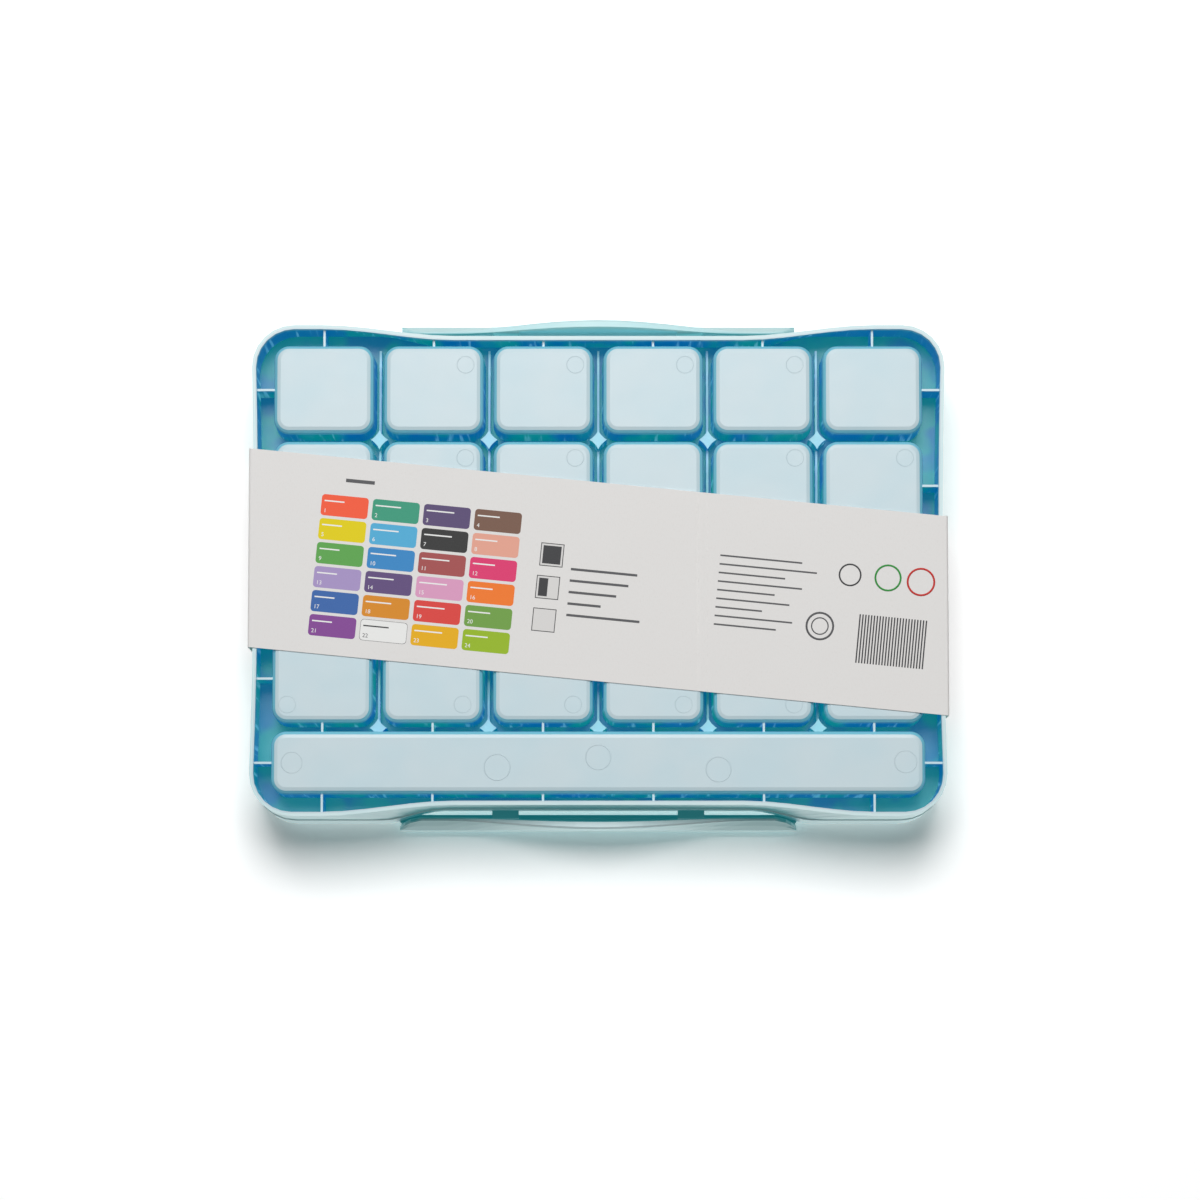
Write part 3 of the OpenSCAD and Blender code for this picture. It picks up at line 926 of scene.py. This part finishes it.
@dataclass
class MouldedCase:
    """The tray, the lid and the two flaps, with the marks of the mould on the wells' feet.

    Attributes:
        foot: Height of the wells' feet, in millimetres.
        mark: Diameter of the marks on the wells, in millimetres.
        line: Width of a mark's line, in millimetres.
        sink: How far a mark lies below the feet, in millimetres.
        columns: How many columns of wells there are, counted from +X.
        pitch: Distance between two wells' middles along X, in millimetres.
        long_y: Middle of the long compartment along Y, in millimetres.
        well_marks: For each row of marks its Y, its distance along X from the wells' middles, in
            millimetres, and the columns that have one.
        long_marks: For each mark of the long compartment its X, its distance from the middle along Y, in
            millimetres, and its size against the others.
    """

    foot: float = 0.7
    mark: float = 7.6
    line: float = 0.35
    sink: float = 0.01
    columns: int = 6
    pitch: float = 49.55
    long_y: float = -87.0
    well_marks: tuple[tuple[float, float, tuple[int, ...]], ...] = (
        (92.9, -14.4, (1, 2, 3, 4)),
        (50.5, -14.4, (1, 2, 4, 5)),
        (-60.9, 15.6, (0,)),
        (-60.9, -13.5, (1, 2, 3, 4)),
    )
    long_marks: tuple[tuple[float, float, float], ...] = (
        (137.3, 0.0, 1.24),
        (45.3, -2.1, 1.53),
        (0.0, 2.4, 1.47),
        (-53.9, -3.0, 1.47),
        (-137.7, 0.4, 1.3),
    )

    def build(self) -> None:
        """Dresses the mouldings and presses the marks."""
        moulding = MintMoulding(Look.TRAY).make()
        dress("case_tray", moulding)
        dress("lid", MintMoulding(Look.LID).make())
        flap = MintMoulding(Look.FLAP).make()
        dress("front_latch", flap)
        dress("rear_latch", flap)
        self._press_marks(moulding)

    def _press_marks(self, material: bpy.types.Material) -> None:
        """Presses faint rings into the feet, where the mould's pins pushed.

        Args:
            material: What the rings wear.
        """
        middle = (self.columns - 1) / 2.0
        marks = [
            ((middle - column) * self.pitch + aside, y, 1.0)
            for y, aside, filled in self.well_marks
            for column in filled
        ]
        marks += [(x, self.long_y + y, size) for x, y, size in self.long_marks]
        places = [Vector((x, y, self.foot - self.sink)) for x, y, _ in marks]
        sizes = [(size, size, 1.0) for _, _, size in marks]
        piece = add_points("pin_marks", places, {"size": ("FLOAT_VECTOR", sizes)})
        Stamp(Outline.RING, self.mark, self.line).press(piece, material)
        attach(piece, "case")
        LOG.info("pin_marks: %d rings", len(marks))


@dataclass
class PaintStore:
    """The cups, the paint in them and their films.

    Attributes:
        count: How many cups there are.
    """

    count: int = 24

    def build(self) -> None:
        """Dresses the cups, paints and films."""
        cup = ClearPlastic().make()
        for number in range(1, self.count + 1):
            dress(f"cup_{number:02d}", cup)
            name = f"paint_{number:02d}"
            dress(name, Gouache(name, paint_tone(name)).make())
        dress("seal_films", SealFilm().make())


def paint_tone(slot: str) -> Colour:
    """Looks up the colour that the record gives a paint.

    Args:
        slot: The paint's slot in the record.

    Returns:
        The linear colour.

    Raises:
        KeyError: The record has no such slot.
    """
    for entry in frame["record"]["materials"]:
        if entry["slot"] == slot:
            return linear(*(part * 255.0 for part in entry["base_color"][:3]))
    raise KeyError(slot)


@dataclass
class CardBand:
    """The loop of printed card round the case, with its overlap on the underside.

    Attributes:
        half_w: Half the outside width, in millimetres.
        top: Height of its top face, in millimetres.
        low: Height of its underside, in millimetres.
        thick: Thickness of the card, in millimetres.
        fold: Radius of its folds, in millimetres.
        half_band: Half the width of the band along Y, in millimetres.
        middle: Middle of the band along Y, in millimetres.
        slant: Its slant across the case, in degrees.
        seam: Where the outer ply ends along X, in millimetres.
        overlap: Length of the overlap, in millimetres.
        ramp: How far before the seam the inner ply starts to rise, in millimetres.
        ply_gap: Gap between the two plies, in millimetres.
        across: How many faces lie side by side over its width.
        fold_steps: How many faces go round a fold.
        ramp_steps: How many faces lie on the inner ply's rise, one to a millimetre.
    """

    half_w: float = 157.42
    top: float = 47.0
    low: float = 0.05
    thick: float = 0.3
    fold: float = 1.1
    half_band: float = 44.95
    middle: float = -5.6
    slant: float = 5.6
    seam: float = -44.0
    overlap: float = 13.0
    ramp: float = 5.0
    ply_gap: float = 0.05
    across: int = 10
    fold_steps: int = 5
    ramp_steps: int = 4

    def build(self) -> None:
        """Builds the loop and its printing."""
        loop = self._loop()
        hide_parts("belly_band")
        pieces = [loop, *BandPrint(self).build()]
        for piece in pieces:
            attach(piece, "band")
            LOG.info("%s: %d faces", piece.name, len(piece.data.polygons))

    def _path(self) -> list[tuple[float, float]]:
        """Follows the outer face from the outer ply's end round to the inner ply's.

        Returns:
            The path's points, as x and z in millimetres.
        """
        right, floor, roof = self.half_w - self.fold, self.low + self.fold, self.top - self.fold
        rise_start = self.seam - self.ramp
        raised = self.low + self.thick + self.ply_gap
        path = [(self.seam, self.low)]
        path += [(x, self.low) for x in spaced(self.seam, right, 30)]
        path += self._turn(right, floor, -90.0)
        path += [(self.half_w, z) for z in spaced(floor, roof, 6)]
        path += self._turn(right, roof, 0.0)
        path += [(x, self.top) for x in spaced(right, -right, 40)]
        path += self._turn(-right, roof, 90.0)
        path += [(-self.half_w, z) for z in spaced(roof, floor, 6)]
        path += self._turn(-right, floor, 180.0)
        path += [(x, self.low) for x in spaced(-right, rise_start, 18)]
        for step in range(self.ramp_steps + 1):
            share = (1.0 - math.cos(math.pi * step / self.ramp_steps)) / 2.0
            path.append((rise_start + step, self.low + (raised - self.low) * share))
        path.append((self.seam, raised))
        path += [(x, raised) for x in spaced(self.seam, self.seam + self.overlap, 3)]
        path.append((self.seam + self.overlap, raised))
        return path

    def _turn(self, x: float, z: float, start: float) -> list[tuple[float, float]]:
        """Returns a quarter turn round a fold's centre, from an angle in degrees."""
        angles = [math.radians(start + 90.0 * step / self.fold_steps) for step in range(self.fold_steps + 1)]
        return [(x + self.fold * math.cos(angle), z + self.fold * math.sin(angle)) for angle in angles]

    def _loop(self) -> bpy.types.Object:
        """Builds the loop with its cut edges.

        Returns:
            The loop.
        """
        path = self._path()
        shares = [2.0 * step / self.across - 1.0 for step in range(self.across + 1)]
        lean = math.tan(math.radians(self.slant))
        points = [(x, self.middle + x * lean + share * self.half_band, z) for x, z in path for share in shares]
        row = len(shares)
        corners = [a * row + b for a in range(len(path) - 1) for b in range(self.across)]
        faces = [(first, first + 1, first + row + 1, first + row) for first in corners]
        loop = mesh_piece("card_band", points, faces, BandCard().make())
        wall = loop.modifiers.new("card", "SOLIDIFY")
        wall.thickness = self.thick * MM
        wall.offset = -1.0
        settle(loop)
        return loop


@dataclass
class BandPrint:
    """What is printed on the band's underside: a colour key, rules, stripes, framed squares and rings.

    Attributes:
        band: The band that carries it.
        ink_height: Height of the lowest print, in millimetres.
        ink_step: How far each print lies in front of the one under it, in millimetres.
        grey: Ink of the rules.
        dark: Ink of the squares, the stripes, the first ring and what stands on the white chip.
        white: What stands on the coloured chips.
        chip_white: The white chip.
        bare: The card inside a frame.
        green: The second ring.
        red: The third ring.
        pale_from: The least part of a linear colour from which a paint counts as white.
        key_start: Middle of the colour key's first chip, to the right and up, in millimetres.
        key_pitch: Distance from chip to chip, to the right and down, in millimetres.
        chip: Width, height and corner of a chip, in millimetres.
        inset: How far left of a chip's middle its number and line start, in millimetres.
        number_size: Height of the numbers' type, in millimetres.
        number_drop: How far under a chip's middle its number stands, in millimetres.
    """

    band: CardBand
    ink_height: float = 0.034
    ink_step: float = 0.007
    grey: Colour = linear(96, 96, 98)
    dark: Colour = linear(70, 70, 72)
    white: Colour = linear(246, 246, 244)
    chip_white: Colour = linear(244, 244, 242)
    bare: Colour = linear(225, 223, 221)
    green: Colour = linear(60, 150, 70)
    red: Colour = linear(205, 60, 55)
    pale_from: float = 0.8
    key_start: tuple[float, float] = (-116.9, 22.6)
    key_pitch: tuple[float, float] = (23.1, 10.9)
    chip: tuple[float, float, float] = (21.2, 9.6, 1.5)
    inset: float = 9.3
    number_size: float = 2.6
    number_drop: float = 3.4

    def build(self) -> list[bpy.types.Object]:
        """Prints the band.

        Returns:
            The printed pieces.
        """
        self.ink = PrintedInk().make()
        return [self._chips(), self._numbers(), self._rules(), self._rings(), self._frames()]

    def _at(self, right: float, up: float, layer: int = 0) -> Vector:
        """Turns a place on the band, to the right and up as it is read, into a place on the case.

        Args:
            right: Distance to the right of the band's middle, in millimetres.
            up: Distance up from the band's middle, in millimetres.
            layer: How many prints lie under it.

        Returns:
            The place, in millimetres.
        """
        angle = math.radians(self.band.slant)
        x = -right * math.cos(angle) - up * math.sin(angle)
        y = -right * math.sin(angle) + up * math.cos(angle)
        return Vector((x, y + self.band.middle, self.ink_height - layer * self.ink_step))

    def _stamped(
        self,
        name: str,
        stamp: Stamp,
        spots: Sequence[tuple[float, float]],
        sizes: Sequence[tuple[float, float]],
        inks: Sequence[Colour],
        layers: Sequence[int],
    ) -> bpy.types.Object:
        """Prints one shape at many places.

        Args:
            name: The piece's name.
            stamp: The shape.
            spots: Each place, to the right and up on the band.
            sizes: Each copy's share of the shape's width and height.
            inks: Each copy's colour.
            layers: How many prints lie under each copy.

        Returns:
            The printed piece.
        """
        values = {
            "size": ("FLOAT_VECTOR", [(wide, high, 1.0) for wide, high in sizes]),
            "ink": ("FLOAT_COLOR", [opaque(ink) for ink in inks]),
        }
        places = [self._at(*spot, layer) for spot, layer in zip(spots, layers)]
        piece = add_points(name, places, values)
        stamp.press(piece, self.ink)
        if stamp.outline is Outline.PLATE:
            face_down(piece.data)
        return piece

    def _chip_spots(self) -> list[tuple[float, float]]:
        """Returns the places of the colour key's chips, row by row."""
        (left, top), (right, down) = self.key_start, self.key_pitch
        return [(left + column * right, top - row * down) for row in range(6) for column in range(4)]

    def _is_white(self, tone: Colour) -> bool:
        """Says whether a paint's chip is white, so that it needs an edge and dark print."""
        return min(tone) > self.pale_from

    def _chip_ink(self, number: int) -> Colour:
        """Returns the ink of what stands on a paint's chip."""
        return self.dark if self._is_white(paint_tone(f"paint_{number:02d}")) else self.white

    def _chips(self) -> bpy.types.Object:
        """Prints the colour key, one chip for each paint, with a grey edge round the white one.

        Returns:
            The chips.
        """
        spots = self._chip_spots()
        tones = [paint_tone(f"paint_{number:02d}") for number in range(1, 25)]
        pale = [spot for spot, tone in zip(spots, tones) if self._is_white(tone)]
        stamp = Stamp(Outline.PLATE, *self.chip, self.band.slant)
        edged = [(1.0, 1.0)] * len(spots) + [(0.985, 0.965)] * len(pale)
        inks = [self.grey if self._is_white(tone) else tone for tone in tones]
        inks += [self.chip_white] * len(pale)
        layers = [0] * len(spots) + [1] * len(pale)
        return self._stamped("colour_key", stamp, spots + pale, edged, inks, layers)

    def _numbers(self) -> bpy.types.Object:
        """Prints a plain number on each chip.

        Returns:
            The numbers.
        """
        made = []
        for number, (right, up) in enumerate(self._chip_spots(), start=1):
            curve = bpy.data.curves.new(f"number_{number}", "FONT")
            curve.body = str(number)
            curve.size = self.number_size * MM
            digits = bpy.data.objects.new(f"number_{number}", curve)
            bpy.context.scene.collection.objects.link(digits)
            place = self._at(right - self.inset, up - self.number_drop, 2)
            made.append((digits, place, self._chip_ink(number)))
        bpy.context.view_layer.update()
        points: list[Vector] = []
        faces: list[list[int]] = []
        tints: list[Colour] = []
        turn = Matrix.Rotation(math.radians(self.band.slant), 3, "Z") @ Matrix.Diagonal((-1.0, 1.0, 1.0))
        for digits, place, tint in made:
            mesh = bpy.data.meshes.new_from_object(digits.evaluated_get(bpy.context.evaluated_depsgraph_get()))
            base = len(points)
            points += [turn @ (vertex.co / MM) + place for vertex in mesh.vertices]
            faces += [[base + index for index in face.vertices] for face in mesh.polygons]
            tints += [tint] * len(mesh.vertices)
            bpy.data.objects.remove(digits)
        piece = mesh_piece("key_numbers", points, faces, self.ink)
        layer = piece.data.attributes.new("ink", "FLOAT_COLOR", "POINT")
        for item, tint in zip(layer.data, tints):
            item.color = opaque(tint)
        face_down(piece.data)
        return piece

    def _rules(self) -> bpy.types.Object:
        """Prints plain rules, short lines on the chips and even stripes.

        Returns:
            The rules, lines and stripes.
        """
        spots: list[tuple[float, float]] = []
        sizes: list[tuple[float, float]] = []
        middle = (-12.8, 4.4, 5.2, 1.1, (30.0, 26.5, 21.5, 15.0, 33.0))
        right_hand = (53.5, 17.2, 3.9, 0.75, (37.0, 44.0, 30.0, 38.0, 26.0, 33.0, 21.0, 35.0, 28.0))
        for left, up, pitch, thick, lengths in (middle, right_hand):
            spots += [(left + length / 2.0, up - line * pitch) for line, length in enumerate(lengths)]
            sizes += [(length, thick) for length in lengths]
        inks = [self.grey] * len(spots)
        for number, (right, up) in enumerate(self._chip_spots(), start=1):
            length = (10.0, 9.0, 11.5, 12.5)[number % 4]
            spots.append((right - self.inset + length / 2.0, up + 1.9))
            sizes.append((length, 0.6))
            inks.append(self._chip_ink(number))
        stripes, first_right, stripe_pitch, stripes_up = 24, 118.6, 1.3, -14.2
        title_spot, title_size = (-111.0, 34.5), (13.0, 1.6)
        spots += [(first_right + stripe * stripe_pitch, stripes_up) for stripe in range(stripes)] + [title_spot]
        sizes += [(0.62, 22.0)] * stripes + [title_size]
        inks += [self.dark] * stripes + [self.grey]
        stamp = Stamp(Outline.PLATE, 1.0, 1.0, 0.0, self.band.slant)
        return self._stamped("printed_rules", stamp, spots, sizes, inks, [2] * len(spots))

    def _rings(self) -> bpy.types.Object:
        """Prints plain rings.

        Returns:
            The rings.
        """
        spots = [(112.4, 14.0), (129.5, 14.3), (144.4, 13.9), (101.0, -10.3), (101.0, -10.3)]
        sizes = [(0.8, 0.8), (0.95, 0.95), (1.0, 1.0), (1.0, 1.0), (0.62, 0.62)]
        inks = [self.dark, self.green, self.red, self.grey, self.grey]
        stamp = Stamp(Outline.RING, 12.0, 0.9)
        return self._stamped("printed_rings", stamp, spots, sizes, inks, [1] * len(spots))

    def _frames(self) -> bpy.types.Object:
        """Prints three framed squares: full, half and no cover.

        Returns:
            The squares.
        """
        width, window, fill = 10.5, 0.93, 0.78
        spots: list[tuple[float, float]] = []
        sizes: list[tuple[float, float]] = []
        inks: list[Colour] = []
        layers: list[int] = []
        for cover, (right, up) in zip((1.0, 0.5, 0.0), ((-21.9, 9.9), (-22.4, -4.9), (-22.6, -19.7))):
            spots += [(right, up), (right, up)]
            sizes += [(1.0, 1.0), (window, window)]
            inks += [self.dark, self.bare]
            layers += [0, 1]
            if cover:
                spots.append((right - width / 2.0 * fill * (1.0 - cover), up))
                sizes.append((fill * cover, fill))
                inks.append(self.dark)
                layers.append(2)
        stamp = Stamp(Outline.PLATE, width, width, 0.0, self.band.slant)
        return self._stamped("cover_symbols", stamp, spots, sizes, inks, layers)


@dataclass
class Palette:
    """The lift-out mixing palette."""

    node: str = "mixing_palette"

    def build(self) -> None:
        """Dresses the palette."""
        dress(self.node, PalePlastic().make())


@dataclass
class Studio:
    """Two pale surfaces, each seen from its own side only, soft lamps and a plain world.

    Attributes:
        reach: Half size of each surface, in metres.
        photo_height: Height of the surface behind the case in the photograph's view, in metres.
        window: Strength of the lamp of the photograph's view.
        ceiling: Strength of the lamp over the upright case.
        side: Strength of the lamp beside the upright case.
        around: Strength of the plain world.
        sky: Colour of the plain world.
        tone: Colour of the surfaces.
        clouded: Their colour in faint clouds.
        extra: Second layer of the surfaces, so that they show white while the object isn't lit more.
    """

    reach: float = 4.0
    photo_height: float = 0.0495
    window: float = 0.86
    ceiling: float = 0.85
    side: float = 0.3
    around: float = 0.13
    sky: Colour = (0.97, 0.99, 1.0)
    tone: Colour = linear(250, 250, 250)
    clouded: Colour = linear(245, 246, 247)
    extra: Colour = linear(165, 165, 165)

    def build(self) -> None:
        """Sets up the surfaces, lamps and world."""
        floor = self._surface("studio_floor", 0.0, True)
        table = self._surface("photo_table", self.photo_height / MM, False)
        table.parent = frame["bodies"]["lid"]
        self._lamp("window_light", (0.08, 1.1, -2.6), 1.5, self.window)
        self._lamp("ceiling_light", (-0.85, -0.75, 1.7), 1.3, self.ceiling)
        self._lamp("side_light", (1.5, 0.9, 0.9), 1.1, self.side)
        self._world()

    def _surface(self, name: str, z: float, up: bool) -> bpy.types.Object:
        """Builds a surface that shows only to a camera in front of it.

        Args:
            name: Its name.
            z: Its height, in millimetres.
            up: Whether it faces up.

        Returns:
            The surface.
        """
        far = self.reach / MM
        ring = [(-far, -far, z), (far, -far, z), (far, far, z), (-far, far, z)]
        recipe = Recipe(f"{name}_finish")
        grain = recipe.noise(recipe.place(), 0.01, 2.0)
        tone = recipe.mix(grain * 0.2, self.tone, self.clouded)
        matt = recipe.add("ShaderNodeBsdfDiffuse", values={"Color": tone})
        more = recipe.add("ShaderNodeBsdfDiffuse", values={"Color": opaque(self.extra)})
        lit = recipe.add("ShaderNodeAddShader", values={0: matt.outputs[0], 1: more.outputs[0]})
        ray = recipe.add("ShaderNodeLightPath")
        side = recipe.add("ShaderNodeNewGeometry")
        seen = recipe.signal(ray, "Is Camera Ray") * (1.0 - recipe.signal(side, "Backfacing"))
        clear = recipe.add("ShaderNodeBsdfTransparent")
        both = recipe.add("ShaderNodeMixShader", values={0: seen, 1: clear.outputs[0], 2: lit.outputs[0]})
        recipe.add("ShaderNodeOutputMaterial", values={"Surface": both.outputs[0]})
        return mesh_piece(name, ring, [(0, 1, 2, 3) if up else (3, 2, 1, 0)], recipe.material)

    def _lamp(self, name: str, place: Sequence[float], size: float, level: float) -> None:
        """Adds a soft square lamp aimed at the case.

        Args:
            name: Its name.
            place: Where it stands, in metres.
            size: Its side, in metres.
            level: How bright it makes a white face turned to it.
        """
        target = Vector((0.0, 0.0, 0.02))
        way = target - Vector(place)
        lamp = bpy.data.lights.new(name, "AREA")
        lamp.shape = "SQUARE"
        lamp.size = size
        lamp.energy = level * math.pi**2 * way.length_squared
        holder = bpy.data.objects.new(name, lamp)
        holder.location = place
        holder.rotation_euler = way.to_track_quat("-Z", "Y").to_euler()
        holder.visible_camera = False
        holder.visible_glossy = place[2] < 0.0
        bpy.context.scene.collection.objects.link(holder)

    def _world(self) -> None:
        """Makes the world white to the camera, in gloss and through clear parts, and plain light otherwise."""
        world = bpy.data.worlds.new("studio_world")
        world.use_nodes = True
        tree = Tree(world.node_tree)
        ray = tree.add("ShaderNodeLightPath")
        seen = tree.signal(ray, "Is Camera Ray").at_least(tree.signal(ray, "Is Transmission Ray"))
        seen = seen.at_least(tree.signal(ray, "Is Glossy Ray"))
        white = tree.add("ShaderNodeBackground", values={"Color": (1.0, 1.0, 1.0, 1.0), "Strength": 1.0})
        plain = tree.add("ShaderNodeBackground", values={"Color": opaque(self.sky), "Strength": self.around})
        both = tree.add("ShaderNodeMixShader", values={0: seen, 1: plain.outputs[0], 2: white.outputs[0]})
        tree.add("ShaderNodeOutputWorld", values={"Surface": both.outputs[0]})
        bpy.context.scene.world = world
        bpy.context.scene.view_settings.view_transform = "Standard"


@dataclass
class PhotoCamera:
    """The camera below the case, where the photograph was taken.

    Attributes:
        tilt: How far it is turned from straight below, in degrees.
        distance: How far it is from what it aims at, in metres.
        aim: What it aims at, in metres.
        lens: Its focal length, in millimetres.
        sensor: Width of its sensor, in millimetres.
    """

    tilt: float = 5.5
    distance: float = 2.0
    aim: tuple[float, float, float] = (-0.0008, -0.0139, 0.0007)
    lens: float = 133.5
    sensor: float = 36.0

    def build(self) -> None:
        """Puts up the camera."""
        lean = math.radians(self.tilt)
        back = Vector((0.0, -math.sin(lean), -math.cos(lean)))
        upward = Vector((0.0, math.cos(lean), -math.sin(lean)))
        across = upward.cross(back)
        turn = Matrix((across, upward, back)).transposed()
        data = bpy.data.cameras.new("photo_camera")
        data.lens = self.lens
        data.sensor_width = self.sensor
        data.clip_start, data.clip_end = 0.05, 20.0
        camera = bpy.data.objects.new("photo_camera", data)
        camera.matrix_world = Matrix.Translation(Vector(self.aim) + back * self.distance) @ turn.to_4x4()
        bpy.context.scene.collection.objects.link(camera)
        bpy.context.scene.camera = camera


def main() -> None:
    """Builds the scene in order and reports each piece."""
    logging.basicConfig(level=logging.INFO, format="%(name)s: %(message)s")
    PhotoCamera().build()
    MouldedCase().build()
    Palette().build()
    PaintStore().build()
    CardBand().build()
    Studio().build()
    bpy.context.view_layer.update()


if __name__ == "__main__":
    main()
